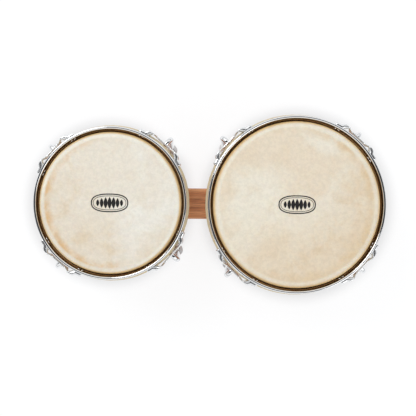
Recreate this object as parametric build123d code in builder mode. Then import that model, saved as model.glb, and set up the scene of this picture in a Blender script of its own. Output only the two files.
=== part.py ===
from build123d import *

from dataclasses import dataclass
from math import cos, degrees, radians, sin, tan
import os

# Bongo drums: a small and a large open-ended stave drum, joined by a wooden bridge block.
# Frame: +Z up, origin on the floor under the middle of the whole object, small drum towards -X.

# ---------------------------------------------------------------- driving dimensions (mm)
playing_height = 165.0  # floor to the heads' playing surface
centre_distance = 250.7  # between the two drum axes
small_head_radius = 95.7  # over the skin, at the shoulder
large_head_radius = 112.5
small_turn = 3.7  # degrees that the small drum's hardware is turned on its shell
large_turn = 2.3

# heads
skin = 1.6
hoop_rod_radius = 3.0
hoop_below_head = 17.0  # playing surface down to the centre of the flesh hoop
hoop_reach = 10.4  # head radius to the outside of the wrapped hoop
hoop_clearance = 0.05  # between the hoop and the skin wrapped round it
collar_foot_angle = 30.0  # degrees up round the wrapped hoop, where the collar leaves it
seam_angle = 45.0
shoulder_radius = 5.6
tuck_slit = 0.5  # open seam where the skin's edge is tucked in

# rims and crown plates
rim_gap = 3.5  # head radius to the rim's inner wall
rim_wall = 2.0
rim_bead_radius = 2.0
rim_below_head = 1.0
crown_thickness = 2.2
crown_half_width = 36.0
crown_landing = 9.0  # length of each arm that lies on the rim
crown_round = 2.5
crown_flat_half = 18.0
crown_shoulder_half = 19.0  # where the upper edge starts to dip towards the hook
crown_dip_half = 11.0
crown_dip = 9.0
crown_overlap = 1.0
tongue_half_width = 10.0
tongue_tip_half_width = 6.0
tongue_corner = 9.0
roll_radius = 3.6  # rolled upper edge of each arm
roll_start = 22.5
crown_bow = 3.9  # rim's outside to the crown plate's flat middle
crown_drop = 42.0  # rim top to the tip of the crown plate's tongue
slot_width_play = 2.0  # slot's size beyond the rod's
slot_length_play = 3.0
weld_offset = 31.0
weld_spacing = 5.0
weld_radius = 1.2
weld_height = 0.6

# tuning hooks, nuts and washers
rod_radius = 3.97
rod_offset = 15.5  # rim's outside to the rod's axis at the bend
rod_tilt = 5.0  # degrees, following the taper of the shell
bend_radius = 8.5
bend_height = 126.0  # height of the bend's centre
hook_tip = 6.0
rod_end_round = 1.0
rod_below_lug = 24.0
thread_clearance = 0.05
nut_flats = 12.7
nut_height = 12.0
nut_corner_share = 1 / 12  # corners turned off at both ends, as a share of the nut
washer_radius = 8.0
washer_thickness = 1.6

# shells
wall = 11.0
shell_taper = 10.0  # top radius minus bottom radius
shell_belly = 1.2
edge_round = 4.0
small_staves = 12
large_staves = 14
glue_line = 0.1

# bottom rings
ring_wall = 2.5
ring_height = 42.0
ring_lip = 2.0
ring_lip_reach = 10.0
lug_height = 32.0
lug_thickness = 5.0
lug_tip_radius = 9.0
lug_root_width = 26.0

# bridge
block_width = 43.0
block_bottom = 55.0
block_top = 125.0
block_chamfer = 2.0
block_cut_depth = 33.0  # of the coves that seat the block on the shells, deeper than its ends reach
stud_heights = (73.0, 107.0)
stud_radius = 4.0
stud_overhang = 4.0
plate_thickness = 3.0
plate_arc = 34.0
plate_margin = 13.0
plate_standoff = 1.4  # room for a flat washer on the curved plate
bridge_washer_radius = 9.0
bridge_nut_flats = 13.0
bridge_nut_height = 6.5

# clearances
touch = 0.1
slack = 0.4

# ---------------------------------------------------------------- derived dimensions
rim_top = playing_height - rim_below_head
hoop_height = playing_height - hoop_below_head
wrap_radius = hoop_rod_radius + skin + hoop_clearance
band_bottom = hoop_height + wrap_radius + touch
bead_height = rim_top - rim_bead_radius
arm_top = bead_height - rim_bead_radius - slack
shell_top = playing_height - skin - touch
shell_bottom = ring_lip + touch
hook_turns = [45.0, 135.0, 225.0, 315.0]


@dataclass
class Drum:
    name: str
    x: float
    head_radius: float
    turn: float
    staves: int
    bridge_side: int  # +1 when the bridge is towards +X

    @property
    def rim_inner(self):
        return self.head_radius + rim_gap

    @property
    def rim_outer(self):
        return self.rim_inner + 2 * rim_bead_radius

    @property
    def band_outer(self):
        return self.rim_inner + rim_wall

    @property
    def hoop_radius(self):
        return self.head_radius + hoop_reach - wrap_radius

    @property
    def axis(self):
        return Axis((self.x, 0, 0), (0, 0, 1))

    @property
    def lug_radius(self):
        drop = bend_height - lug_height
        return self.rim_outer + rod_offset - drop * tan(radians(rod_tilt))

    def shell_radius(self, z):
        share = z / shell_top
        taper = shell_taper * (1 - share)
        return self.head_radius - skin - touch - taper + 4 * shell_belly * share * (1 - share)


small_rim_outer = small_head_radius + rim_gap + 2 * rim_bead_radius
large_rim_outer = large_head_radius + rim_gap + 2 * rim_bead_radius
half_length = (centre_distance + small_rim_outer + large_rim_outer) / 2
small = Drum("small", small_rim_outer - half_length, small_head_radius, small_turn, small_staves, 1)
large = Drum("large", half_length - large_rim_outer, large_head_radius, large_turn, large_staves, -1)
drums = [small, large]


# ---------------------------------------------------------------- planes
def section_plane(drum, angle=0.0):
    """Upright plane through the drum's axis: local x runs outwards, local y runs up."""
    turn = radians(angle)
    return Plane((drum.x, 0, 0), x_dir=(cos(turn), sin(turn), 0), z_dir=(sin(turn), -cos(turn), 0))


def hook_plane(drum, angle):
    """Plane of a tuning hook: origin in its lug, local x outwards, local y up along the rod."""
    turn = radians(angle)
    tilt = radians(rod_tilt)
    origin = (drum.x + drum.lug_radius * cos(turn), drum.lug_radius * sin(turn), lug_height)
    outward = (cos(tilt) * cos(turn), cos(tilt) * sin(turn), -sin(tilt))
    return Plane(origin, x_dir=outward, z_dir=(sin(turn), -cos(turn), 0))


def seat_plane(drum, angle, along=0.0):
    """Plane square to a tuning rod, at a distance along it above the underside of its lug."""
    upright = hook_plane(drum, angle)
    return Plane(upright.origin + upright.y_dir * along, x_dir=upright.x_dir, z_dir=upright.y_dir)


def save(builder, name):
    builder.part.label = name
    export_step(builder.part, f"parts/{name}.step")


# ---------------------------------------------------------------- shells
def draw_wall(drum, outer_gap, thickness, bottom, top):
    """Outline of a wall that follows the shell's side: outer_gap outside it, thickness thick."""
    middle = (bottom + top) / 2
    outer = [(drum.shell_radius(z) + outer_gap, z) for z in (bottom, middle, top)]
    inner = [(radius - thickness, z) for radius, z in outer]
    with BuildLine() as outline:
        ThreePointArc(*outer)
        Line(outer[2], inner[2])
        ThreePointArc(*inner)
        Line(inner[0], outer[0])
    make_face(outline.edges())


def build_shell(drum):
    stave_arc = 360 / drum.staves - degrees(glue_line / drum.head_radius)
    at_origin = Drum(drum.name, 0, drum.head_radius, drum.turn, drum.staves, drum.bridge_side)
    with BuildPart() as stave:
        with BuildSketch(section_plane(at_origin, -stave_arc / 2)) as stave_section:
            draw_wall(drum, 0, wall, shell_bottom, shell_top)
            top_corners = stave_section.vertices().group_by(Axis.Y)[-1]
            fillet(top_corners, radius=edge_round)
        revolve(axis=Axis.Z, revolution_arc=stave_arc)
    with BuildPart() as shell:
        with Locations((drum.x, 0, 0)):
            with PolarLocations(0, drum.staves):
                add(stave.part)
        with BuildSketch(Plane.YZ.offset(drum.x)):
            with Locations(*[(0, z) for z in stud_heights]):
                Circle(stud_radius + slack)
        extrude(amount=drum.bridge_side * drum.head_radius, mode=Mode.SUBTRACT)
    save(shell, f"{drum.name}_shell")


# ---------------------------------------------------------------- heads
def build_head(drum):
    collar_foot = hoop_height + wrap_radius * sin(radians(collar_foot_angle))
    wrap_inside = drum.hoop_radius - wrap_radius * cos(radians(collar_foot_angle))
    with BuildPart() as head_skin:
        with BuildSketch(section_plane(drum)):
            with BuildLine():
                top = Line((0, playing_height), (drum.head_radius - shoulder_radius, playing_height))
                shoulder = JernArc(top @ 1, top % 1, shoulder_radius, -90)
                foot = (wrap_inside + skin / 2, collar_foot)
                inner_foot = (wrap_inside - skin / 2, collar_foot)
                inner_shoulder = (drum.head_radius - skin, playing_height - shoulder_radius)
                Polyline(shoulder @ 1, foot, inner_foot, inner_shoulder)
                under = JernArc(inner_shoulder, (0, 1), shoulder_radius - skin, 90)
                Polyline(under @ 1, (0, playing_height - skin), top @ 0)
            make_face()
            with Locations((drum.hoop_radius, hoop_height)):
                Circle(wrap_radius)
                Circle(wrap_radius - skin, mode=Mode.SUBTRACT)
            seam_reach = wrap_radius - skin / 2
            seam_out = drum.hoop_radius - seam_reach * cos(radians(seam_angle))
            seam_up = hoop_height + seam_reach * sin(radians(seam_angle))
            with Locations((seam_out, seam_up)):
                Rectangle(skin + 2 * tuck_slit, tuck_slit, rotation=-seam_angle, mode=Mode.SUBTRACT)
        revolve(axis=drum.axis)
    save(head_skin, f"{drum.name}_head_skin")

    with BuildPart() as flesh_hoop:
        with BuildSketch(section_plane(drum)):
            with Locations((drum.hoop_radius, hoop_height)):
                Circle(hoop_rod_radius)
        revolve(axis=drum.axis)
    save(flesh_hoop, f"{drum.name}_flesh_hoop")


# ---------------------------------------------------------------- rims and crown plates
def build_rim(drum):
    band_middle = (band_bottom + bead_height) / 2
    with BuildPart() as rim:
        with BuildSketch(section_plane(drum)):
            with Locations((drum.rim_inner + rim_wall / 2, band_middle)):
                Rectangle(rim_wall, bead_height - band_bottom)
            with Locations((drum.rim_inner + rim_bead_radius, bead_height)):
                Circle(rim_bead_radius)
        revolve(axis=drum.axis)
        pip_radius = drum.rim_inner + weld_radius - weld_height
        pip_height = (band_bottom + bead_height - rim_bead_radius) / 2
        for turn in hook_turns:
            for side in (-1, 1):
                for step in (-0.5, 0.5):
                    along = side * weld_offset + step * weld_spacing
                    angle = radians(turn + drum.turn) + along / drum.band_outer
                    with Locations((drum.x + pip_radius * cos(angle), pip_radius * sin(angle), pip_height)):
                        Sphere(weld_radius)
    save(rim, f"{drum.name}_rim")


def draw_crown_plan(drum):
    """Plan of a crown plate: a straight middle outside the hoop, two arms lying on the rim."""
    radius = drum.band_outer + (touch + crown_thickness) / 2
    flat = drum.rim_outer + crown_bow + crown_thickness / 2
    arm_start = (crown_half_width - crown_landing) / drum.band_outer
    arm_end = crown_half_width / drum.band_outer
    landing = (radius * cos(arm_start), radius * sin(arm_start))
    with BuildLine() as path:
        Line((flat, 0), (flat, crown_flat_half))
        Spline(
            (flat, crown_flat_half),
            landing,
            tangents=((0, 1), (-sin(arm_start), cos(arm_start))),
        )
        CenterArc((0, 0), radius, degrees(arm_start), degrees(arm_end - arm_start))
        mirror(about=Plane.XZ)
    trace(path.line, line_width=crown_thickness)


def draw_crown_front():
    """Front outline of a crown plate: two welded arms and a tongue that dips to the hook."""
    arm_bottom = band_bottom + touch
    tip = rim_top - crown_drop
    arm_end = crown_half_width + crown_overlap
    right = [
        (crown_dip_half, arm_top - crown_dip),
        (crown_shoulder_half, arm_top),
        (arm_end, arm_top),
        (arm_end, arm_bottom),
        (crown_flat_half, arm_bottom),
        (tongue_half_width, tip + tongue_corner),
        (tongue_tip_half_width, tip),
    ]
    left = [(-across, z) for across, z in reversed(right)]
    with BuildLine() as outline:
        Polyline(*right, *left, close=True)
    make_face(outline.edges())


def build_crowns(drum):
    front = Plane((drum.head_radius, 0, 0), x_dir=(0, 1, 0), z_dir=(1, 0, 0))
    depth = drum.rim_outer + crown_bow + crown_thickness + slack - drum.head_radius
    hole_height = bend_height + bend_radius + slack
    roll_circle = drum.band_outer + touch + roll_radius
    roll_height = arm_top - roll_radius
    roll_from = degrees(roll_start / drum.band_outer)
    roll_to = degrees((crown_half_width - roll_radius) / drum.band_outer)
    with BuildPart() as crown:
        with BuildSketch(Plane.XY.offset(rim_top - crown_drop)):
            draw_crown_plan(drum)
        extrude(amount=crown_drop)
        with BuildSketch(front) as plate_front:
            draw_crown_front()
            fillet(plate_front.vertices(), radius=crown_round)
            with Locations((0, hole_height)):
                slot_length = 2 * rod_radius + slot_length_play
                slot_width = 2 * rod_radius + slot_width_play
                SlotOverall(slot_length, slot_width, rotation=90, mode=Mode.SUBTRACT)
        extrude(amount=depth, mode=Mode.INTERSECT)
        for start in (roll_from, -roll_to):
            with BuildSketch(Plane.XZ.rotated((0, 0, start))):
                with Locations((roll_circle, roll_height)):
                    Circle(roll_radius)
            revolve(axis=Axis.Z, revolution_arc=roll_to - roll_from)
        for end in (roll_from, roll_to, -roll_from, -roll_to):
            turn = radians(end)
            with Locations((roll_circle * cos(turn), roll_circle * sin(turn), roll_height)):
                Sphere(roll_radius)
    with BuildPart() as crown_plates:
        with Locations((drum.x, 0, 0)):
            with PolarLocations(0, len(hook_turns), start_angle=hook_turns[0] + drum.turn):
                add(crown.part)
    save(crown_plates, f"{drum.name}_crown_plates")


# ---------------------------------------------------------------- tuning hooks, nuts and washers
def build_hook(drum, number, angle):
    bend_along = (bend_height - lug_height) / cos(radians(rod_tilt))
    plane = hook_plane(drum, angle)
    with BuildPart() as hook:
        with BuildLine(plane) as path:
            rod = Line((0, -rod_below_lug), (0, bend_along))
            bend = JernArc(rod @ 1, rod % 1, bend_radius, 180)
            Line(bend @ 1, (bend @ 1) + (bend % 1) * hook_tip)
        with BuildSketch(seat_plane(drum, angle, -rod_below_lug)):
            Circle(rod_radius)
        sweep(path=path.line)
        fillet(hook.faces().filter_by(GeomType.PLANE).edges(), radius=rod_end_round)
    save(hook, f"{drum.name}_hook_{number}")


def build_hex_nut(plane, flats, height, bore):
    """Hex nut standing on a plane, its corners turned off at both ends."""
    corner_radius = flats / 2 / cos(radians(30))
    with BuildPart() as blank:
        with BuildSketch(plane):
            Circle(corner_radius)
        extrude(amount=height)
        chamfer(blank.edges(), length=height * nut_corner_share, length2=flats * nut_corner_share)
    with BuildPart() as nut:
        with BuildSketch(plane):
            RegularPolygon(flats / 2, 6, major_radius=False)
            Circle(bore, mode=Mode.SUBTRACT)
        extrude(amount=height)
        add(blank.part, mode=Mode.INTERSECT)
    return nut


def build_nut(drum, number, angle):
    seat = seat_plane(drum, angle, -washer_thickness - 2 * touch - nut_height)
    nut = build_hex_nut(seat, nut_flats, nut_height, rod_radius + thread_clearance)
    save(nut, f"{drum.name}_nut_{number}")


def build_washers(drum):
    with BuildPart() as washers:
        for turn in hook_turns:
            with BuildSketch(seat_plane(drum, turn + drum.turn, -washer_thickness - touch)):
                Circle(washer_radius)
                Circle(rod_radius + slack, mode=Mode.SUBTRACT)
            extrude(amount=washer_thickness)
    save(washers, f"{drum.name}_washers")


# ---------------------------------------------------------------- bottom rings
def build_bottom_ring(drum):
    root = drum.lug_radius - drum.shell_radius(lug_height) - touch - ring_wall / 2
    with BuildPart() as bottom_ring:
        with BuildSketch(section_plane(drum)):
            draw_wall(drum, touch + ring_wall, ring_wall, ring_lip / 2, ring_height)
        revolve(axis=drum.axis)
        lip_outer = drum.shell_radius(ring_lip / 2) + touch + ring_wall / 2
        lip_width = ring_lip_reach + ring_wall
        with BuildSketch(section_plane(drum)):
            with Locations((lip_outer - lip_width / 2, ring_lip / 2)):
                Rectangle(lip_width, ring_lip)
        revolve(axis=drum.axis)
        for turn in hook_turns:
            with BuildSketch(seat_plane(drum, turn + drum.turn)):
                Circle(lug_tip_radius)
                with Locations((-root, 0)):
                    Rectangle(ring_wall / 2, lug_root_width)
                make_hull()
                Circle(rod_radius + slack, mode=Mode.SUBTRACT)
            extrude(amount=lug_thickness)
    save(bottom_ring, f"{drum.name}_bottom_ring")


# ---------------------------------------------------------------- bridge
def inside_face(drum, z):
    """Where a washer stands inside a drum: x on its bridge side, clear of the backing plate."""
    reach = drum.shell_radius(z) - wall - touch - plate_thickness - plate_standoff
    return drum.x + drum.bridge_side * reach


def build_bridge():
    block_start = small.x + small.shell_radius(block_bottom) - wall
    block_end = large.x - large.shell_radius(block_bottom) + wall
    with BuildPart() as bridge_block:
        with BuildSketch(Plane.XY.offset(block_bottom)):
            with Locations(((block_start + block_end) / 2, 0)):
                Rectangle(block_end - block_start, block_width)
        extrude(amount=block_top - block_bottom)
        chamfer(bridge_block.edges().filter_by(Axis.X), length=block_chamfer)
        for drum in drums:
            with BuildSketch(section_plane(drum)):
                draw_wall(drum, touch, block_cut_depth, shell_bottom, shell_top)
            revolve(axis=drum.axis, mode=Mode.SUBTRACT)
        with BuildSketch(Plane.YZ.offset(block_start)):
            with Locations(*[(0, z) for z in stud_heights]):
                Circle(stud_radius + slack)
        extrude(amount=block_end - block_start, mode=Mode.SUBTRACT)
    save(bridge_block, "bridge_block")

    tail = bridge_nut_height + washer_thickness + stud_overhang
    with BuildPart() as bridge_studs:
        for z in stud_heights:
            start = inside_face(small, z) - tail
            with BuildSketch(Plane.YZ.offset(start)):
                with Locations((0, z)):
                    Circle(stud_radius)
            extrude(amount=inside_face(large, z) + tail - start)
    save(bridge_studs, "bridge_studs")

    for drum in drums:
        facing = 0 if drum.bridge_side > 0 else 180
        with BuildPart() as backing_plate:
            with BuildSketch(section_plane(drum, facing - plate_arc / 2)):
                low = stud_heights[0] - plate_margin
                high = stud_heights[1] + plate_margin
                draw_wall(drum, -wall - touch, plate_thickness, low, high)
            revolve(axis=drum.axis, revolution_arc=plate_arc)
            with BuildSketch(Plane.YZ.offset(drum.x)):
                with Locations(*[(0, z) for z in stud_heights]):
                    Circle(stud_radius + slack)
            extrude(amount=drum.bridge_side * drum.head_radius, mode=Mode.SUBTRACT)
        save(backing_plate, f"{drum.name}_backing_plate")

    with BuildPart() as bridge_washers:
        for drum in drums:
            for z in stud_heights:
                with BuildSketch(Plane.YZ.offset(inside_face(drum, z))):
                    with Locations((0, z)):
                        Circle(bridge_washer_radius)
                        Circle(stud_radius + slack, mode=Mode.SUBTRACT)
                extrude(amount=-drum.bridge_side * washer_thickness)
    save(bridge_washers, "bridge_washers")

    with BuildPart() as bridge_nuts:
        for drum in drums:
            for z in stud_heights:
                face = inside_face(drum, z) - drum.bridge_side * (washer_thickness + touch)
                plane = Plane((face, 0, z), x_dir=(0, 1, 0), z_dir=(-drum.bridge_side, 0, 0))
                nut = build_hex_nut(plane, bridge_nut_flats, bridge_nut_height, stud_radius + touch)
                add(nut.part)
    save(bridge_nuts, "bridge_nuts")


# ---------------------------------------------------------------- the whole object
os.makedirs("parts", exist_ok=True)
for drum in drums:
    build_shell(drum)
    build_head(drum)
    build_rim(drum)
    build_crowns(drum)
    build_bottom_ring(drum)
    build_washers(drum)
    for number, turn in enumerate(hook_turns, start=1):
        build_hook(drum, number, turn + drum.turn)
        build_nut(drum, number, turn + drum.turn)
build_bridge()
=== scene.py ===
import math

import bmesh
import bpy
import numpy as np
from mathutils import Matrix, Vector, noise


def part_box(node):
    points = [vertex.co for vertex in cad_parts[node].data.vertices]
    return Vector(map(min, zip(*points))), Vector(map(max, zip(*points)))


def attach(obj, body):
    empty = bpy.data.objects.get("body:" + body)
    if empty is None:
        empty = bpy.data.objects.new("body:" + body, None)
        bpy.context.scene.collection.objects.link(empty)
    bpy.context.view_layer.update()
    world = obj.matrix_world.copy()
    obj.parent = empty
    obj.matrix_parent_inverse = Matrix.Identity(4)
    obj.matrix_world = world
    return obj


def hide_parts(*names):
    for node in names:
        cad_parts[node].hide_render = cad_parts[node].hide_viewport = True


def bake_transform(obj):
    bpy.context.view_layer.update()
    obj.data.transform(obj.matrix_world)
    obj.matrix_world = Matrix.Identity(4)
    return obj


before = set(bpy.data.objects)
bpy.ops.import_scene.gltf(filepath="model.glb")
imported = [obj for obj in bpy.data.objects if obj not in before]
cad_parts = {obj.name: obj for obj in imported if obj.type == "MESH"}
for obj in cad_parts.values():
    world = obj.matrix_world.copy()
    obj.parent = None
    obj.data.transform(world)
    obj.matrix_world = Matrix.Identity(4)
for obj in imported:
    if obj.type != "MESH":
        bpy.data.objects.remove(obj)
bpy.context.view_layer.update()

# Bongo drums, seen from above. The CAD gives the places; this script makes the looks.
# Lengths are in metres: +Z up, floor at z 0, small drum towards -X.
MM = 0.001
SKIN = 1.6 * MM
TOUCH = 0.1 * MM  # gap between faces that touch
HOOP_ROD = 3.0 * MM
BEAD = 2.0 * MM  # radius of the rim's rolled top
RIM_WALL = 2.0 * MM
ROD = 3.97 * MM
ROD_TILT = math.radians(5.0)
BEND = 8.5 * MM
BEND_HEIGHT = 126.0 * MM
HOOK_TIP = 6.0 * MM
ROD_OFFSET = 15.5 * MM  # rim's outside to the rod at the bend
HOOKS = (1, 2, 3, 4)


class Drum:
    """One drum's measures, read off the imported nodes."""

    def __init__(self, name, seed, ornament_turn):
        self.name = name
        self.seed = seed
        self.ornament_turn = ornament_turn
        shell_low, shell_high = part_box(name + "_shell")
        hoop_low, hoop_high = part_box(name + "_flesh_hoop")
        rim_low, rim_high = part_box(name + "_rim")
        self.x = (shell_low.x + shell_high.x) / 2
        self.head_radius = (shell_high.x - shell_low.x) / 2 + SKIN + TOUCH
        self.top = shell_high.z + SKIN + TOUCH
        self.hoop_radius = (hoop_high.x - hoop_low.x) / 2 - HOOP_ROD
        self.hoop_height = (hoop_low.z + hoop_high.z) / 2
        self.rim_outer = (rim_high.x - rim_low.x) / 2
        self.rim_inner = self.rim_outer - 2 * BEAD
        self.rim_bottom, self.rim_top = rim_low.z, rim_high.z

    def hook_turn(self, number):
        low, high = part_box(f"{self.name}_hook_{number}")
        middle = (low + high) / 2
        return math.atan2(middle.y, middle.x - self.x)

    def spot(self, radius, turn, height):
        return Vector((self.x + radius * math.cos(turn), radius * math.sin(turn), height))


SMALL = Drum("small", seed=3.0, ornament_turn=math.pi)
LARGE = Drum("large", seed=11.0, ornament_turn=0.0)
DRUMS = (SMALL, LARGE)


# ---------------------------------------------------------------- shader graphs
class Graph:
    """A material's nodes. Each call adds a node and returns its output socket."""

    def __init__(self, name):
        self.material = bpy.data.materials.new(name)
        self.material.use_nodes = True
        self.tree = self.material.node_tree
        self.shader = self.tree.nodes["Principled BSDF"]
        self.place = self.add("ShaderNodeTexCoord").outputs["Object"]

    def add(self, kind, **settings):
        made = self.tree.nodes.new(kind)
        for key, value in settings.items():
            setattr(made, key, value)
        return made

    def feed(self, socket, value):
        if isinstance(value, bpy.types.NodeSocket):
            self.tree.links.new(value, socket)
        else:
            socket.default_value = value

    def set(self, **inputs):
        for key, value in inputs.items():
            self.feed(self.shader.inputs[key.replace("_", " ")], value)

    def math(self, operation, first, second=0.0, third=None):
        made = self.add("ShaderNodeMath", operation=operation)
        self.feed(made.inputs[0], first)
        self.feed(made.inputs[1], second)
        if third is not None:
            self.feed(made.inputs[2], third)
        return made.outputs[0]

    def split(self, vector):
        made = self.add("ShaderNodeSeparateXYZ")
        self.feed(made.inputs[0], vector)
        return made.outputs

    def join(self, x, y, z):
        made = self.add("ShaderNodeCombineXYZ")
        for socket, value in zip(made.inputs, (x, y, z)):
            self.feed(socket, value)
        return made.outputs[0]

    def reach(self, x, y):
        """Distance of (x, y) from the origin."""
        squares = self.math("ADD", self.math("MULTIPLY", x, x), self.math("MULTIPLY", y, y))
        return self.math("SQRT", squares)

    def stretch(self, vector, scale, shift=(0.0, 0.0, 0.0)):
        made = self.add("ShaderNodeMapping")
        self.feed(made.inputs["Vector"], vector)
        self.feed(made.inputs["Location"], shift)
        self.feed(made.inputs["Scale"], scale)
        return made.outputs[0]

    def noise(self, vector, scale, detail=4.0, rough=0.5, warp=0.0):
        made = self.add("ShaderNodeTexNoise")
        for key, value in (
            ("Vector", vector),
            ("Scale", scale),
            ("Detail", detail),
            ("Roughness", rough),
            ("Distortion", warp),
        ):
            self.feed(made.inputs[key], value)
        return made.outputs["Fac"]

    def ramp(self, value, low, high, start=0.0, end=1.0):
        """Smooth step of value between low and high, returned between start and end."""
        made = self.add("ShaderNodeMapRange", interpolation_type="SMOOTHSTEP")
        for key, number in (
            ("Value", value),
            ("From Min", low),
            ("From Max", high),
            ("To Min", start),
            ("To Max", end),
        ):
            self.feed(made.inputs[key], number)
        return made.outputs[0]

    def mix(self, share, first, second, blend="MIX"):
        made = self.add("ShaderNodeMix", data_type="RGBA", blend_type=blend)
        self.feed(made.inputs[0], share)
        self.feed(made.inputs[6], first)
        self.feed(made.inputs[7], second)
        return made.outputs[2]

    def bump(self, height, distance, strength=1.0):
        made = self.add("ShaderNodeBump")
        self.feed(made.inputs["Height"], height)
        self.feed(made.inputs["Distance"], distance)
        self.feed(made.inputs["Strength"], strength)
        self.feed(self.shader.inputs["Normal"], made.outputs[0])


def rgb(red, green, blue):
    """A shader colour from screen values between 0 and 255, by the sRGB curve."""
    screen = [value / 255 for value in (red, green, blue)]
    linear = [v / 12.92 if v <= 0.04045 else ((v + 0.055) / 1.055) ** 2.4 for v in screen]
    return (*linear, 1.0)


# ---------------------------------------------------------------- materials
# how fine each pattern is, in cells per metre
SMEARS, PLATING_WAVE, SCRATCHES = 45.0, 160.0, 900.0
WOOD_BANDS, WOOD_FIBRES, WOOD_PORES = 60.0, 330.0, 560.0
HIDE_CLOUDS, HIDE_PATCHES, HIDE_MOTTLE, HIDE_FIBRES = 11.0, 34.0, 210.0, 800.0
INK_WEAR = 900.0
DULL = 0.94  # how bright smeared metal is, next to clean metal


def metal(name, colour, rough, smudge, wave):
    """Plated or bare steel: slightly uneven polish, fine scratches and a soft plating wave."""
    graph = Graph(name)
    smear = graph.noise(graph.place, SMEARS, 5.0, 0.6)
    scratch = graph.noise(graph.stretch(graph.place, (1.0, 1.0, 9.0)), SCRATCHES, 3.0, 0.7)
    polish = graph.ramp(smear, 0.35, 0.7, rough, rough + smudge)
    worn = graph.ramp(scratch, 0.62, 0.8, 0.0, smudge)
    graph.set(Metallic=1.0, Roughness=graph.math("ADD", polish, worn))
    dull = tuple(value * DULL for value in colour[:3]) + (1.0,)
    graph.set(Base_Color=graph.mix(graph.ramp(smear, 0.4, 0.75), colour, dull))
    graph.bump(graph.noise(graph.place, PLATING_WAVE, 2.0, 0.4), wave)
    return graph.material


def wood(name, tones, fibre, per_board, centre=None, boards=1):
    """Stained, lacquered wood. fibre stretches the grain; boards cuts staves round centre."""
    light, middle, dark = tones
    graph = Graph(name)
    place = graph.place
    if centre is None:
        luck = graph.noise(place, 3.0, 1.0)
    else:
        # each stave has its own luck, which sets its tone and moves its grain along
        x, y, z = graph.split(place)
        across = graph.math("SUBTRACT", x, centre)
        turn = graph.math("ARCTAN2", y, across)
        stave = graph.math("FLOOR", graph.math("MULTIPLY_ADD", turn, boards / math.tau, 0.5))
        chance = graph.add("ShaderNodeTexWhiteNoise", noise_dimensions="1D")
        graph.feed(chance.inputs["W"], stave)
        luck = chance.outputs["Value"]
        place = graph.join(across, y, graph.math("MULTIPLY_ADD", luck, 3.0, z))
    grain = graph.stretch(place, fibre)
    bands = graph.noise(grain, WOOD_BANDS, 4.0, 0.6, 1.0)
    fibres = graph.noise(grain, WOOD_FIBRES, 5.0, 0.7)
    coarse = graph.stretch(place, tuple(value * 1.6 for value in fibre))
    pore = graph.ramp(graph.noise(coarse, WOOD_PORES, 2.0, 0.5), 0.58, 0.68)
    base = graph.mix(graph.ramp(bands, 0.36, 0.64), middle, light)
    base = graph.mix(graph.ramp(fibres, 0.46, 0.70, 0.0, 0.8), base, dark)
    base = graph.mix(graph.math("MULTIPLY", pore, 0.6), base, dark)
    tone = graph.ramp(luck, 0.0, 1.0, 1.0 - per_board, 1.0 + per_board)
    graph.set(Base_Color=graph.mix(1.0, base, graph.join(tone, tone, tone), "MULTIPLY"))
    graph.set(Roughness=graph.ramp(fibres, 0.3, 0.8, 0.30, 0.48))
    graph.set(Coat_Weight=0.35, Coat_Roughness=0.22)
    relief = graph.math("SUBTRACT", graph.math("MULTIPLY", fibres, 0.5), pore)
    graph.bump(relief, 0.25 * MM, 0.5)
    return graph.material


# Hide: shares of the head's radius, and falls below its playing surface
CREST = 0.945  # where the skin breaks over the shell's edge
CREST_HIGHLIGHT_RISE, CREST_HIGHLIGHT_END = (CREST - 0.032, CREST - 0.004), (CREST + 0.036, CREST + 0.004)
WEAR_RISE, WEAR_END = (CREST - 0.15, CREST - 0.05), (CREST - 0.018, CREST - 0.045)
GAP_FLOOR = (1.010, 1.018)  # bottom of the gap inside the rim
WRAPPED_HOOP = (1.040, 1.065)
SHOULDER_FALL = (0.9 * MM, 2.6 * MM)
# below the shoulder the collar darkens with its fall: the hide's own brown, deepened by painted
# shade down in the gap
BROWN_AND_SHADE_FALL = (6 * MM, 9 * MM)
DEEP_SHADE_FALL = (10 * MM, 14 * MM)
# painted highlight: the pale line along the crest over the shell's edge
PAINTED_CREST_HIGHLIGHT = rgb(240, 235, 220)
SIDE_TONES = (rgb(236, 204, 150), rgb(214, 180, 124))
# painted shade: the brown and deep tones darken the collar towards the gap, over the hide's own
# brown
BROWN_AND_SHADE_TONES = (rgb(188, 144, 92), rgb(166, 120, 72))
DEEP_SHADE_TONES = (rgb(112, 70, 32), rgb(90, 55, 22))
FLOOR_TONE = rgb(200, 150, 92)
WRAP_TONE = rgb(210, 194, 160)
DRIFT = 0.50  # most that a head turns tan towards its darker side


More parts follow.
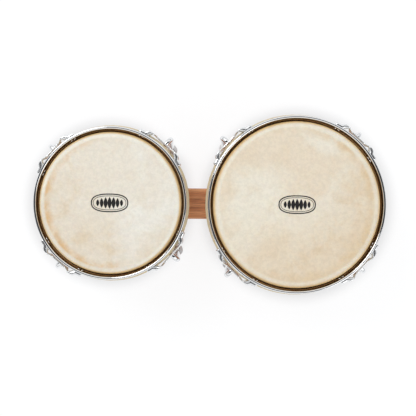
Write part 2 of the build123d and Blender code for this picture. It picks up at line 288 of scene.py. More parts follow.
def hide(drum, tones, crest_highlight_share, stain_turn, drift_turn):
    """Natural hide: cloudy patches, fine mottling, a pale line over the edge painted as a
    highlight, browner sides darkened by painted shade down in the gap.

    The head is tanner towards drift_turn, and its line of wear is strongest towards stain_turn.
    """
    pale, cream, tan, stain = tones
    graph = Graph(drum.name + "_hide")
    x, y, z = graph.split(graph.place)
    across = graph.math("SUBTRACT", x, drum.x)
    share = graph.math("DIVIDE", graph.reach(across, y), drum.head_radius)
    turn = graph.math("ARCTAN2", y, across)

    def times(first, second):
        return graph.math("MULTIPLY", first, second)

    def towards(direction):
        away = graph.math("SUBTRACT", turn, math.radians(direction))
        return graph.ramp(graph.math("COSINE", away), -0.6, 1.0)

    place = graph.stretch(graph.place, (1.0, 1.0, 1.0), (drum.seed, drum.seed * 0.7, 0.0))
    clouds = graph.noise(place, HIDE_CLOUDS, 4.0, 0.55, 0.5)
    patches = graph.noise(place, HIDE_PATCHES, 6.0, 0.62, 0.6)
    mottle = graph.noise(place, HIDE_MOTTLE, 5.0, 0.7)
    fibres = graph.noise(graph.stretch(place, (0.3, 1.0, 1.0)), HIDE_FIBRES, 4.0, 0.7)
    # clouds and patches
    base = graph.mix(graph.ramp(clouds, 0.40, 0.60), pale, cream)
    outwards = graph.ramp(share, 0.1, 0.8, 0.3, 1.0)
    drift = times(times(towards(drift_turn), outwards), DRIFT)
    base = graph.mix(drift, base, tan)
    patch = times(graph.ramp(patches, 0.44, 0.74), graph.ramp(drift, 0.0, DRIFT, 0.3, 0.9))
    base = graph.mix(patch, base, tan)
    # a line of wear just inside the edge, strong on one side
    band = times(graph.ramp(share, *WEAR_RISE), graph.ramp(share, *WEAR_END))
    wear = times(graph.ramp(patches, 0.34, 0.62, 0.2, 1.0),
                 graph.ramp(towards(stain_turn), 0.1, 1.0, 0.12, 1.0))
    base = graph.mix(times(band, wear), base, stain)
    # a painted highlight along the crest over the shell's edge, on a ground that turns tan outside
    # it
    base = graph.mix(graph.ramp(share, CREST, 0.99, 0.0, 0.6), base, tan)
    crest = times(graph.ramp(share, *CREST_HIGHLIGHT_RISE), graph.ramp(share, *CREST_HIGHLIGHT_END))
    faint_highlight = graph.ramp(clouds, 0.38, 0.62, 0.15, crest_highlight_share)
    base = graph.mix(times(crest, faint_highlight), base, PAINTED_CREST_HIGHLIGHT)
    speck = graph.ramp(mottle, 0.35, 0.65, 0.94, 1.03)
    base = graph.mix(1.0, base, graph.join(speck, speck, speck), "MULTIPLY")
    # the side: tan at the shoulder, browner below it and darkest down in the gap, the hide's own
    # brown deepened by painted shade
    fall = graph.math("SUBTRACT", drum.top, z)
    patchy = graph.ramp(patches, 0.3, 0.7)
    side, brown_and_shade, deep_shade = (graph.mix(patchy, *pair) for pair in (SIDE_TONES, BROWN_AND_SHADE_TONES, DEEP_SHADE_TONES))
    side = graph.mix(graph.ramp(fall, *BROWN_AND_SHADE_FALL), side, brown_and_shade)
    side = graph.mix(graph.ramp(fall, *DEEP_SHADE_FALL), side, deep_shade)
    side = graph.mix(graph.ramp(share, *GAP_FLOOR), side, FLOOR_TONE)
    side = graph.mix(graph.ramp(share, *WRAPPED_HOOP), side, WRAP_TONE)
    base = graph.mix(graph.ramp(fall, *SHOULDER_FALL), base, side)
    graph.set(Base_Color=base, Roughness=graph.ramp(clouds, 0.3, 0.7, 0.52, 0.66))
    graph.set(Subsurface_Weight=0.10, Subsurface_Scale=1.0)
    graph.set(Subsurface_Radius=(4.0 * MM, 2.2 * MM, 1.0 * MM))
    graph.bump(graph.math("ADD", times(mottle, 0.6), times(fibres, 0.5)), 0.12 * MM, 0.45)
    return graph.material


def ink(name):
    """Worn black print: matt, a little patchy where the hide shows through."""
    graph = Graph(name)
    wear = graph.noise(graph.place, INK_WEAR, 4.0, 0.7)
    graph.set(Base_Color=graph.mix(graph.ramp(wear, 0.60, 0.80), rgb(20, 19, 18), rgb(84, 76, 64)))
    graph.set(Roughness=graph.ramp(wear, 0.3, 0.7, 0.45, 0.62))
    graph.bump(wear, 0.05 * MM, 0.4)
    return graph.material


CHROME = metal("chrome", (0.82, 0.83, 0.84, 1.0), 0.035, 0.03, 0.01 * MM)
PRESSED = metal("pressed_chrome", (0.88, 0.89, 0.90, 1.0), 0.24, 0.05, 0.02 * MM)
SATIN = metal("satin_chrome", (0.90, 0.91, 0.92, 1.0), 0.48, 0.06, 0.02 * MM)
ZINC = metal("zinc", (0.66, 0.67, 0.68, 1.0), 0.22, 0.12, 0.05 * MM)
STEEL = metal("plain_steel", (0.50, 0.50, 0.51, 1.0), 0.30, 0.15, 0.06 * MM)
INK = ink("badge_ink")
# light, middle and dark wood
SHELL_TONES = (rgb(216, 146, 98), rgb(186, 116, 74), rgb(120, 68, 40))
BLOCK_TONES = (rgb(247, 181, 126), rgb(221, 147, 97), rgb(148, 88, 52))
SHELL_FIBRE, BLOCK_FIBRE = (1.0, 1.0, 0.06), (0.05, 1.0, 1.0)
# pale, cream, tan and stained hide
SMALL_TONES = (rgb(235, 231, 221), rgb(230, 223, 209), rgb(221, 204, 178), rgb(219, 184, 138))
LARGE_TONES = (rgb(234, 227, 211), rgb(229, 216, 195), rgb(218, 195, 162), rgb(220, 196, 159))
SMALL_HIDE = hide(SMALL, SMALL_TONES, 0.85, stain_turn=200, drift_turn=215)
LARGE_HIDE = hide(LARGE, LARGE_TONES, 0.50, stain_turn=-5, drift_turn=-60)


def paint(node, material):
    """Gives a CAD node one material."""
    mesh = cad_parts[node].data
    mesh.materials.clear()
    mesh.materials.append(material)


# ---------------------------------------------------------------- mesh making
def make_piece(name, points, faces, material, crease=None):
    """A piece from points and faces, normals outwards; crease is the sharpest smoothed angle."""
    mesh = bpy.data.meshes.new(name)
    mesh.from_pydata([tuple(point) for point in points], [], faces)
    shape = bmesh.new()
    shape.from_mesh(mesh)
    bmesh.ops.recalc_face_normals(shape, faces=shape.faces)
    shape.to_mesh(mesh)
    shape.free()
    mesh.polygons.foreach_set("use_smooth", [True] * len(mesh.polygons))
    if crease is not None:
        mesh.set_sharp_from_angle(angle=math.radians(crease))
    mesh.materials.append(material)
    piece = bpy.data.objects.new(name, mesh)
    bpy.context.scene.collection.objects.link(piece)
    return piece


def grid_faces(rows, columns, first=0, wrap=False):
    """Quads over rows of points, each row a closed loop; wrap joins the last row to the first."""
    faces = []
    for row in range(rows if wrap else rows - 1):
        near = first + row * columns
        far = first + (row + 1) % rows * columns
        for column in range(columns):
            beside = (column + 1) % columns
            faces.append((near + column, near + beside, far + beside, far + column))
    return faces


def capped_grid(rows, first=0):
    """Faces of a closed tube over rows of points, each end closed by one flat face."""
    columns = len(rows[0])
    last = first + (len(rows) - 1) * columns
    faces = grid_faces(len(rows), columns, first)
    faces.append(tuple(first + column for column in range(columns)))
    faces.append(tuple(last + column for column in range(columns)))
    return faces


def arc(centre, radius, start, end, count):
    """Points (r, z) along an arc, angles in degrees from the outward direction."""
    angles = np.radians(np.linspace(start, end, count))
    return [(centre[0] + radius * math.cos(a), centre[1] + radius * math.sin(a)) for a in angles]


def line(start, end, count):
    """Points from start to end, without the start itself."""
    shares = np.linspace(0, 1, count + 1)[1:]
    return [tuple(a + (b - a) * share for a, b in zip(start, end)) for share in shares]


def blend_in(value, low, high):
    """Smooth step from 0 to 1 as value runs from low to high."""
    share = min(1.0, max(0.0, (value - low) / (high - low)))
    return share * share * (3 - 2 * share)


# ---------------------------------------------------------------- heads
HEAD_TURNS = 384
SHOULDER = 5.6 * MM
CREST_INSET = 8.0 * MM  # from the head's outside to its flat playing surface
CREST_FALL = 0.7 * MM
HOOP_CLEARANCE = 0.05 * MM
WRAP = HOOP_ROD + HOOP_CLEARANCE + SKIN  # radius of the skin's outside round the hoop
COLLAR_FOOT = 158  # degrees round the hoop, where the collar leaves it
TUCK_START, TUCK_END = 190, 490  # degrees round the hoop that the inside of the skin follows
WRAP_END = 200  # where its outside ends, on the way back
UNEVEN = 0.22 * MM  # of the playing surface, as dried hide is never quite flat
UNEVEN_SCALE = 24
LEVEL = 0.1 * MM  # unevenness above this is cut off, so that the head keeps its height
GATHER = 0.28 * MM  # ripples of the collar


def surface_drop(drum, x, y):
    """How far the playing surface lies below its highest level at a place."""
    reach = math.hypot(x - drum.x, y)
    sample = Vector((x, y, drum.top)) * UNEVEN_SCALE + Vector((drum.seed, 0, drum.seed))
    lift = UNEVEN * noise.noise(sample) * min(1.0, reach / drum.head_radius * 4)
    return max(0.0, LEVEL - lift)


def head_profile(drum):
    """Closed outline (r, z) of the skin: head, shoulder, collar and the tuck round its hoop."""
    radius, top = drum.head_radius, drum.top
    hoop = (drum.hoop_radius, drum.hoop_height)
    crest = radius - CREST_INSET
    round_centre = (radius - SHOULDER, top - CREST_FALL - SHOULDER)
    flat = [(crest * share**0.8, top) for share in np.linspace(0, 1, 40)[1:]]
    fall = [(crest + (round_centre[0] - crest) * share, top - CREST_FALL * share * share)
            for share in np.linspace(0, 1, 6)[1:-1]]
    outside = flat + fall + arc(round_centre, SHOULDER, 84, 4, 14)
    foot = arc(hoop, WRAP, COLLAR_FOOT, COLLAR_FOOT, 1)[0]
    outside += line(outside[-1], foot, 6)
    tuck_inside = arc(hoop, WRAP - SKIN, TUCK_START, TUCK_END, 52)
    tuck_outside = arc(hoop, WRAP, TUCK_END, WRAP_END, 52)
    inner_foot = (foot[0] - SKIN * 1.02, foot[1] - SKIN * 0.3)
    inner_top = (radius - SKIN, round_centre[1])
    collar = [inner_foot] + line(inner_foot, inner_top, 6)
    under = arc(round_centre, SHOULDER - SKIN, 4, 84, 10)
    back = [(r, z - SKIN) for r, z in reversed(flat + fall)]
    return outside + tuck_inside + tuck_outside + collar + under + back


def build_head(drum, material):
    """Turns the outline round the drum's axis, with the hide's waviness, and closes its middle."""
    points = []
    profile = head_profile(drum)
    for r, z in profile:
        for step in range(HEAD_TURNS):
            turn = math.tau * step / HEAD_TURNS
            spot = drum.spot(r, turn, z)
            if r < drum.head_radius - CREST_INSET:
                points.append(spot - Vector((0, 0, surface_drop(drum, spot.x, spot.y))))
                continue
            gather = GATHER * noise.noise(Vector((turn * 22, z * 60, drum.seed)))
            gather *= blend_in(drum.top - z, 4 * MM, 12 * MM)
            points.append(drum.spot(r + gather, turn, z + gather * 0.4))
    faces = grid_faces(len(profile), HEAD_TURNS)
    middle = len(points)
    drop = surface_drop(drum, drum.x, 0)
    points.append(Vector((drum.x, 0, drum.top - drop)))
    points.append(Vector((drum.x, 0, drum.top - SKIN - drop)))
    last = middle - HEAD_TURNS
    for step in range(HEAD_TURNS):
        beside = (step + 1) % HEAD_TURNS
        faces.append((middle, beside, step))
        faces.append((middle + 1, last + step, last + beside))
    head = make_piece(drum.name + "_hide_head", points, faces, material)
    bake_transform(head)
    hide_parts(drum.name + "_head_skin")


# ---------------------------------------------------------------- printed ornaments
ORNAMENT_HALF_LENGTH = 25.0 * MM
ORNAMENT_HALF_HEIGHT = 12.5 * MM
ORNAMENT_LINE = 1.5 * MM
ORNAMENT_SQUARE = 0.8  # 1 is an ellipse, less is squarer
INNER_LINE = (-1.9 * ORNAMENT_LINE, -2.35 * ORNAMENT_LINE)
LENS_STEPS = (-3, -2, -1, 0, 1, 2, 3)
LENS_SPACING = 5.3 * MM
LENS_HALF_WIDTH = 2.7 * MM
LENS_HALF_HEIGHT = 8.0 * MM
LENS_FADE = 4.6  # steps from the middle to where a lens would vanish
INK_BOTTOM = 0.04 * MM  # above the hide
INK_TOP = 0.09 * MM


def oval(grow, count=72):
    """Outline of the ornament's oval, a little squared, grown by a distance."""
    outline = []
    for step in range(count):
        turn = math.tau * step / count
        across, up = math.cos(turn), math.sin(turn)
        length, height = ORNAMENT_HALF_LENGTH + grow, ORNAMENT_HALF_HEIGHT + grow
        outline.append((length * math.copysign(abs(across)**ORNAMENT_SQUARE, across),
                        height * math.copysign(abs(up)**ORNAMENT_SQUARE, up)))
    return outline


def lens(centre, half_width, half_height, count=9):
    """Upright lens shape: two arcs that meet in points."""
    heights = np.linspace(-1, 1, count)
    right = [(centre + half_width * (1 - h * h), half_height * h) for h in heights]
    left = [(centre - half_width * (1 - h * h), half_height * h) for h in reversed(heights[1:-1])]
    return right + left


def build_ornament(drum):
    """Generic print in the middle of a head: two oval lines round a row of lens shapes."""
    points, faces = [], []

    def lay(outline, height):
        """Adds an outline's points on the hide, turned as the ornament is."""
        cosine, sine = math.cos(drum.ornament_turn), math.sin(drum.ornament_turn)
        for across, up in outline:
            x = drum.x + (across * cosine - up * sine)
            y = across * sine + up * cosine
            points.append(Vector((x, y, drum.top - surface_drop(drum, x, y) + height)))

    def print_ring(outer, inner):
        first = len(points)
        lay(outer, INK_BOTTOM)
        lay(inner, INK_BOTTOM)
        lay(inner, INK_TOP)
        lay(outer, INK_TOP)
        faces.extend(grid_faces(4, len(outer), first, wrap=True))

    def print_lens(outline):
        first = len(points)
        lay(outline, INK_BOTTOM)
        lay(outline, INK_TOP)
        faces.extend(capped_grid([outline, outline], first))

    print_ring(oval(0), oval(-ORNAMENT_LINE))
    print_ring(*(oval(grow) for grow in INNER_LINE))
    for step in LENS_STEPS:
        fade = 1 - (abs(step) / LENS_FADE) ** 2
        print_lens(lens(step * LENS_SPACING, LENS_HALF_WIDTH * fade**0.5, LENS_HALF_HEIGHT * fade))
    ornament = make_piece(drum.name + "_ornament", points, faces, INK, crease=30)
    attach(ornament, "root")


# ---------------------------------------------------------------- rims
RIM_TURNS = 720
RIM_SOFT = 0.5 * MM  # rounding of the lower edge
NECK = 3 * MM  # from the bead's middle down to the plain wall
WELD_OFFSET = 31.0 * MM  # along the rim, from a hook to the middle of its pair of welds
WELD_SPACING = 5.0 * MM
WELD_HEIGHT = SMALL.rim_bottom + 2.6 * MM
WELD_RADIUS = 2.1 * MM
WELD_RISE = 1.6 * MM
WELD_SINK = 0.15 * MM
WELD_ROWS, WELD_COLUMNS = 7, 16


def add_dome(points, faces, centre, turn):
    """A flattened weld nugget that stands out towards the drum's axis."""
    inwards = Vector((-math.cos(turn), -math.sin(turn), 0))
    along = Vector((-math.sin(turn), math.cos(turn), 0))
    first = len(points)
    for tilt in np.radians(np.linspace(-80, 80, WELD_ROWS)):
        for step in range(WELD_COLUMNS):
            around = math.tau * step / WELD_COLUMNS
            reach = WELD_RADIUS * math.cos(tilt)
            points.append(centre + inwards * WELD_RISE * math.sin(tilt)
                          + along * reach * math.cos(around)
                          + Vector((0, 0, reach * math.sin(around))))
    faces.extend(capped_grid([range(WELD_COLUMNS)] * WELD_ROWS, first))


def rim_profile(drum):
    """Closed outline (r, z) of the rim: a thin band with its upper edge rolled outwards."""
    bead = (drum.rim_inner + BEAD, drum.rim_top - BEAD)
    inside, outside = drum.rim_inner, drum.rim_inner + RIM_WALL
    neck = (outside, bead[1] - NECK)
    foot = drum.rim_bottom + RIM_SOFT
    profile = arc((outside - RIM_SOFT, foot), RIM_SOFT, 0, -90, 5)
    profile += arc((inside + RIM_SOFT, foot), RIM_SOFT, -90, -180, 5)
    profile += line(profile[-1], (inside, bead[1]), 4)
    profile += arc(bead, BEAD, 176, -84, 36)
    profile += line(profile[-1], neck, 3)[:2]
    profile += line(neck, profile[0], 3)[:-1]
    return profile


def build_rim(drum):
    """The rim, with two weld nuggets inside it behind each arm of a crown plate."""
    profile = rim_profile(drum)
    points = [drum.spot(r, math.tau * step / RIM_TURNS, z)
              for r, z in profile for step in range(RIM_TURNS)]
    faces = grid_faces(len(profile), RIM_TURNS, wrap=True)
    for number in HOOKS:
        for side in (-1, 1):
            for step in (-0.5, 0.5):
                along = side * WELD_OFFSET + step * WELD_SPACING
                turn = drum.hook_turn(number) + along / (drum.rim_inner + RIM_WALL)
                spot = drum.spot(drum.rim_inner + WELD_SINK, turn, WELD_HEIGHT)
                add_dome(points, faces, spot, turn)
    rim = make_piece(drum.name + "_rolled_rim", points, faces, CHROME, crease=40)
    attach(rim, drum.name + "_rim_set")
    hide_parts(drum.name + "_rim")


# ---------------------------------------------------------------- crown plates
PLATE = 2.2 * MM
ARM_END = 36.0 * MM
ARM_ROUND = 2.7 * MM
ARM_STATIONS = 73
LANDING = 27.0 * MM  # from here outwards an arm lies on the rim
STRAP_HALF = 18.0 * MM
STRAP_BOW = 3.9 * MM  # rim's outside to the strap
STRAP_DIP = 9.0 * MM
DIP_EDGE = (10 * MM, 20 * MM)
ROLL = 3.6 * MM  # radius of the rolled arms
ROLL_EDGE = (18.5 * MM, 23 * MM)
ROLL_OPENING = 1.5 * MM
ROLL_WRAP = 95  # degrees that the roll goes past its outermost line
TONGUE_EDGE = (8 * MM, 19 * MM)
TONGUE_ROUND = 9.0 * MM
TONGUE_ROUNDNESS = 0.45
TONGUE_TIP = SMALL.rim_top - 42.0 * MM
ARM_TOP = SMALL.rim_top - 2 * BEAD - 0.4 * MM
ARM_BOTTOM = SMALL.rim_bottom + TOUCH
SLOT_HEIGHT = BEND_HEIGHT + BEND + 0.4 * MM
SLOT_HALF_LENGTH = 0.5 * MM  # between the slot's two round ends
SLOT_HALF_WIDTH = ROD + 1.0 * MM
SLOT_REACH = 12 * MM
INNER_FACE = -0.6  # a strap's inner face looks at least this far inwards


def crown_plan(drum, along):
    """Middle of the plate seen from above, before it is turned to its hook."""
    landing = drum.rim_inner + RIM_WALL + (TOUCH + PLATE) / 2
    strap = drum.rim_outer + STRAP_BOW + PLATE / 2
    turn = along / (drum.rim_inner + RIM_WALL)
    share = blend_in(abs(along), STRAP_HALF, LANDING)
    return Vector((strap + (landing * math.cos(turn) - strap) * share,
                   along + (landing * math.sin(turn) - along) * share, 0))


def crown_section(reach):
    """Outline (out, z) at a distance from the plate's middle: a strap, or a rolled arm."""
    top = ARM_TOP - STRAP_DIP * (1 - blend_in(reach, *DIP_EDGE))
    bottom = TONGUE_TIP + (ARM_BOTTOM - TONGUE_TIP) * blend_in(reach, *TONGUE_EDGE)
    if reach < TONGUE_ROUND:
        lift = 1 - math.sqrt(1 - (reach / TONGUE_ROUND) ** 2)
        bottom += TONGUE_ROUNDNESS * TONGUE_ROUND * lift
    roll = blend_in(reach, *ROLL_EDGE)
    half = PLATE / 2
    radius = half + (ROLL - half) * roll
    centre = (radius - half, top - radius)
    under = top - radius - (radius + ROLL_OPENING) * roll
    outline = [(-half, bottom + half)]
    outline += line(outline[-1], (-half, min(centre[1], under)), 8)
    outline += arc(centre, radius, 180, -ROLL_WRAP * roll, 25)
    outline += line(outline[-1], (half, under), 2)
    outline += line((half, under), (half, bottom + half), 8)
    outline += arc((0, bottom + half), half, -15, -165, 7)
    # the arm's end is rounded off, by drawing its last sections in towards their middles
    shrink = max(0.0, (reach - (ARM_END - ARM_ROUND)) / ARM_ROUND)
    keep = math.sqrt(1 - min(shrink, 0.985) ** 2)
    middle = (top + bottom) / 2
    squeeze = 1 - ARM_ROUND * (1 - keep) / ((top - bottom) / 2)
    return [(centre[0] + (out - centre[0]) * keep, middle + (up - middle) * squeeze)
            for out, up in outline]


def cut_slot(plate, drum):
    """Cuts the upright slot that the hook passes through, with a boolean, and applies it."""
    outline = arc((0, SLOT_HEIGHT + SLOT_HALF_LENGTH), SLOT_HALF_WIDTH, 0, 180, 17)
    outline += arc((0, SLOT_HEIGHT - SLOT_HALF_LENGTH), SLOT_HALF_WIDTH, 180, 360, 17)
    near, far = drum.rim_outer, drum.rim_outer + SLOT_REACH
    points = [Vector((out, across, up)) for out in (near, far) for across, up in outline]
    cutter = make_piece("slot_cutter", points, capped_grid([outline, outline]), PRESSED)
    cut = plate.modifiers.new("slot", "BOOLEAN")
    cut.operation = "DIFFERENCE"
    cut.object = cutter
    depsgraph = bpy.context.evaluated_depsgraph_get()
    mesh = bpy.data.meshes.new_from_object(plate.evaluated_get(depsgraph))
    plate.modifiers.remove(cut)
    plate.data = mesh
    bpy.data.objects.remove(cutter)


def make_crown(drum):
    """One crown plate with its slot, round a drum at x 0 whose hook is towards +X."""
    plain = ARM_END - ARM_ROUND
    middle_stations = sorted(set(np.linspace(-1, 1, ARM_STATIONS) * plain))
    ends = [ARM_END - ARM_ROUND * (1 - math.sin(t)) for t in np.linspace(0.25, 1.4, 6)]
    rows = []
    for along in [-end for end in reversed(ends)] + middle_stations + ends:
        middle = crown_plan(drum, along)
        ahead = crown_plan(drum, along + 0.1 * MM) - crown_plan(drum, along - 0.1 * MM)
        outwards = Vector((ahead.y, -ahead.x, 0)).normalized()
        rows.append([middle + outwards * out + Vector((0, 0, up))
                     for out, up in crown_section(abs(along))])
    points = [point for row in rows for point in row]
    plate = make_piece("one_crown", points, capped_grid(rows), PRESSED)
    cut_slot(plate, drum)
    for face in plate.data.polygons:
        if face.normal.x < INNER_FACE and abs(face.center.y) < STRAP_HALF:
            face.material_index = 1  # the strap's inner face is left duller
    return plate


def build_crowns(drum):
    """Four crown plates, one turned to each hook."""
    plate = make_crown(drum)
    shape = bmesh.new()
    for number in HOOKS:
        turned = plate.data.copy()
        turned.transform(Matrix.Translation((drum.x, 0, 0))
                         @ Matrix.Rotation(drum.hook_turn(number), 4, "Z"))
        shape.from_mesh(turned)
        bpy.data.meshes.remove(turned)
    mesh = bpy.data.meshes.new(drum.name + "_crowns")
    shape.to_mesh(mesh)
    shape.free()
    mesh.polygons.foreach_set("use_smooth", [True] * len(mesh.polygons))
    mesh.set_sharp_from_angle(angle=math.radians(50))
    mesh.materials.append(PRESSED)
    mesh.materials.append(SATIN)
    bpy.data.objects.remove(plate)
    crowns = bpy.data.objects.new(drum.name + "_crowns", mesh)
    bpy.context.scene.collection.objects.link(crowns)
    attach(crowns, drum.name + "_rim_set")
    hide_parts(drum.name + "_crown_plates")


# ---------------------------------------------------------------- tuning hooks
ROD_COLUMNS = 28
BEND_ROWS = 33
THREAD_PITCH = 1.25 * MM
THREAD_DEPTH = 0.55 * MM
THREAD_LENGTH = 48.0 * MM
ROWS_PER_TURN = 8
LUG_HEIGHT = 32.0 * MM
ROD_BELOW_LUG = 24.0 * MM
ROD_END_ROUND = 1.0 * MM


def thread_radius(along, around):
    """The threaded rod's radius at a distance from its lower end, at an angle round it."""
    run_out = 2 * THREAD_PITCH
    fade = blend_in(along, 0, run_out) * blend_in(THREAD_LENGTH - along, 0, run_out)
    chamfer = THREAD_DEPTH * (1 - blend_in(along, 0, ROD_END_ROUND))
    phase = (along / THREAD_PITCH - around / math.tau) % 1
    return ROD - THREAD_DEPTH * (1 - abs(2 * phase - 1)) * fade - chamfer


def build_hook(drum, number):
    """A tuning hook: threaded rod that leans with the shell, bent over at the top into a tip."""
    turn = drum.hook_turn(number)
    drop = BEND_HEIGHT - LUG_HEIGHT
    lug = drum.spot(drum.rim_outer + ROD_OFFSET - drop * math.tan(ROD_TILT), turn, LUG_HEIGHT)
    flat = Vector((math.cos(turn), math.sin(turn), 0))
    up = flat * math.sin(ROD_TILT) + Vector((0, 0, math.cos(ROD_TILT)))
    out = flat * math.cos(ROD_TILT) - Vector((0, 0, math.sin(ROD_TILT)))
    side = out.cross(up)
    rod_end = drop / math.cos(ROD_TILT)
    rows = []

    def ring(centre, across, radius_at):
        row = []
        for column in range(ROD_COLUMNS):
            around = math.tau * column / ROD_COLUMNS
            radius = radius_at(around)
            row.append(centre + across * radius * math.cos(around)
                       + side * radius * math.sin(around))
        rows.append(row)

    # the thread, then the plain rod
    steps = int(THREAD_LENGTH / THREAD_PITCH * ROWS_PER_TURN)
    for step in range(steps + 1):
        along = THREAD_LENGTH * step / steps
        ring(lug + up * (along - ROD_BELOW_LUG), out,
             lambda around, along=along: thread_radius(along, around))
    for along in np.linspace(THREAD_LENGTH - ROD_BELOW_LUG, rod_end, 8)[1:]:
        ring(lug + up * along, out, lambda around: ROD)
    # the bend, and the tip with its rounded end
    bend_centre = lug + up * rod_end - out * BEND
    for angle in np.radians(np.linspace(0, 180, BEND_ROWS)[1:]):
        across = out * math.cos(angle) + up * math.sin(angle)
        ring(bend_centre + across * BEND, across, lambda around: ROD)
    tip_start = bend_centre - out * BEND
    for share in (0.5, 0.83):
        ring(tip_start - up * HOOK_TIP * share, -out, lambda around: ROD)
    for angle in np.radians((30, 60, 85)):
        inset = ROD_END_ROUND * (1 - math.cos(angle))
        fall = HOOK_TIP - ROD_END_ROUND * (1 - math.sin(angle))
        ring(tip_start - up * fall, -out, lambda around, inset=inset: ROD - inset)
    points = [point for row in rows for point in row]
    hook = make_piece(f"{drum.name}_tuning_hook_{number}", points, capped_grid(rows), CHROME,
                      crease=60)
    node = f"{drum.name}_hook_{number}"
    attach(hook, node)
    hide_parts(node)


# ---------------------------------------------------------------- the object
for drum, boards, skin in ((SMALL, 12, SMALL_HIDE), (LARGE, 14, LARGE_HIDE)):
    build_head(drum, skin)
    build_ornament(drum)
    build_rim(drum)
    build_crowns(drum)
    staves = wood(drum.name + "_wood", SHELL_TONES, SHELL_FIBRE, 0.14, drum.x, boards)
    paint(drum.name + "_shell", staves)
    paint(drum.name + "_bottom_ring", SATIN)
    paint(drum.name + "_flesh_hoop", STEEL)
    for part in ("washers", "backing_plate"):
        paint(f"{drum.name}_{part}", ZINC)
    for number in HOOKS:
        build_hook(drum, number)
        paint(f"{drum.name}_nut_{number}", ZINC)
paint("bridge_block", wood("bridge_wood", BLOCK_TONES, BLOCK_FIBRE, 0.04))
for part in ("bridge_studs", "bridge_washers", "bridge_nuts"):
    paint(part, ZINC)


# ---------------------------------------------------------------- studio
CAMERA_HEIGHT = 0.72  # above the rims
PICTURE_WIDTH = 0.5566  # what the picture spans at the height of the rims
CAMERA_SPOT = (-0.0009, 0.0011)
CAMERA_SHIFT = (-0.0024, -0.0120)
CAMERA_ROLL = math.radians(0.55)
SENSOR = 36.0  # width in millimetres

FLOOR_HALF = 6.0  # half the floor's side
PAPER = ((0.205, 0.212, 0.220, 1), (0.225, 0.232, 0.240, 1))
FLOOR_GLOW = 0.80
PAINTED_SHADE = 0.54  # painted shade: how much of the glow is left under a drum
PAINTED_SHADE_EDGE = (-25 * MM, 25 * MM)  # painted shade: its edge, from the outline that a rim throws on the floor


def build_floor():
    """White paper that glows, so that it stays pale, with a soft shade painted round each drum."""
    graph = Graph("studio_floor")
    x, y, z = graph.split(graph.place)
    spread = 1 + LARGE.rim_top / CAMERA_HEIGHT
    glow_with_painted_shade = FLOOR_GLOW
    for drum in DRUMS:
        across = graph.math("SUBTRACT", x, drum.x * spread)
        low, high = (drum.rim_outer * spread + step for step in PAINTED_SHADE_EDGE)
        # painted shade: the glow dims near each drum's outline, standing in for its shadow
        left = graph.ramp(graph.reach(across, y), low, high, PAINTED_SHADE, 1.0)
        glow_with_painted_shade = graph.math("MULTIPLY", left, glow_with_painted_shade)
    graph.set(Base_Color=graph.mix(graph.noise(graph.place, 6.0, 2.0), *PAPER), Roughness=0.9)
    graph.set(Emission_Color=(1.0, 1.0, 1.0, 1.0), Emission_Strength=glow_with_painted_shade)
    corners = [(-FLOOR_HALF, -FLOOR_HALF, 0), (FLOOR_HALF, -FLOOR_HALF, 0),
               (FLOOR_HALF, FLOOR_HALF, 0), (-FLOOR_HALF, FLOOR_HALF, 0)]
    floor = make_piece("studio_floor", corners, [(0, 1, 2, 3)], graph.material)


ROOM_LIGHT = (0.77, 0.77, 0.77, 1)
SOFTBOX = (1.0, 1.0, 1.0, 1)
DARK_ROOM = (0.055, 0.055, 0.057, 1)
HAZY_ROOM = (0.30, 0.30, 0.30, 1)
CEILING_EDGE = (0.50, 0.68)  # how high the ceiling begins above the hazy corners of the room
SOFTBOX_EDGE = (0.36, 0.48)  # how far towards +Y or -Y the softboxes begin
WALL_EDGE = (0.84, 0.95)  # how far towards +X or -X the pale walls begin
HORIZON_EDGE = (0.05, 0.20)


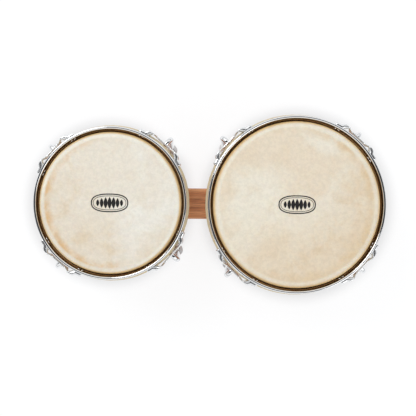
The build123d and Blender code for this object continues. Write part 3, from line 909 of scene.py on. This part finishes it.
def build_world():
    """Even white light. Shiny parts see two long softboxes, pale walls and a dark ceiling."""
    world = bpy.data.worlds.new("studio")
    bpy.context.scene.world = world
    world.use_nodes = True
    tree = world.node_tree

    def add(kind, *values, **settings):
        node = tree.nodes.new(kind)
        for key, value in settings.items():
            setattr(node, key, value)
        for socket, value in zip(node.inputs, values):
            if isinstance(value, bpy.types.NodeSocket):
                tree.links.new(value, socket)
            else:
                socket.default_value = value
        return node.outputs

    def step(value, edge):
        return add("ShaderNodeMapRange", value, *edge, interpolation_type="SMOOTHSTEP")[0]

    def either(share, first, second):
        return add("ShaderNodeMixRGB", share, first, second)[0]

    place = add("ShaderNodeTexCoord")["Generated"]
    x, y, z = add("ShaderNodeSeparateXYZ", place)
    towards_boxes = step(add("ShaderNodeMath", y, operation="ABSOLUTE")[0], SOFTBOX_EDGE)
    towards_walls = step(add("ShaderNodeMath", x, operation="ABSOLUTE")[0], WALL_EDGE)
    aside = add("ShaderNodeMath", towards_boxes, towards_walls, operation="MAXIMUM")[0]
    lit = add("ShaderNodeMath", aside, step(z, HORIZON_EDGE), operation="MULTIPLY")[0]
    unlit = either(step(z, CEILING_EDGE), HAZY_ROOM, DARK_ROOM)
    glossy = add("ShaderNodeLightPath")["Is Glossy Ray"]
    seen = either(glossy, ROOM_LIGHT, either(lit, unlit, SOFTBOX))
    tree.links.new(seen, tree.nodes["Background"].inputs["Color"])


def add_light(name, place, size, power):
    """A round softbox that looks at the drums."""
    data = bpy.data.lights.new(name, "AREA")
    data.shape = "DISK"
    data.size = size
    data.energy = power
    light = bpy.data.objects.new(name, data)
    light.location = place
    light.rotation_euler = (Vector((0, 0, 0.1)) - Vector(place)).to_track_quat("-Z", "Y").to_euler()
    light.visible_camera = False
    bpy.context.scene.collection.objects.link(light)


def build_camera():
    """Looks straight down, with the rims at the picture's scale."""
    data = bpy.data.cameras.new("camera")
    data.sensor_width = SENSOR
    data.lens = SENSOR * CAMERA_HEIGHT / PICTURE_WIDTH
    data.shift_x, data.shift_y = CAMERA_SHIFT
    camera = bpy.data.objects.new("camera", data)
    camera.location = (*CAMERA_SPOT, LARGE.rim_top + CAMERA_HEIGHT)
    camera.rotation_euler = (0, 0, CAMERA_ROLL)
    bpy.context.scene.collection.objects.link(camera)
    bpy.context.scene.camera = camera


build_floor()
build_world()
add_light("key", place=(-0.9, 0.9, 1.5), size=0.9, power=9)
add_light("fill", place=(1.2, -0.8, 1.4), size=1.2, power=5)
build_camera()
bpy.context.scene.view_settings.view_transform = "Standard"
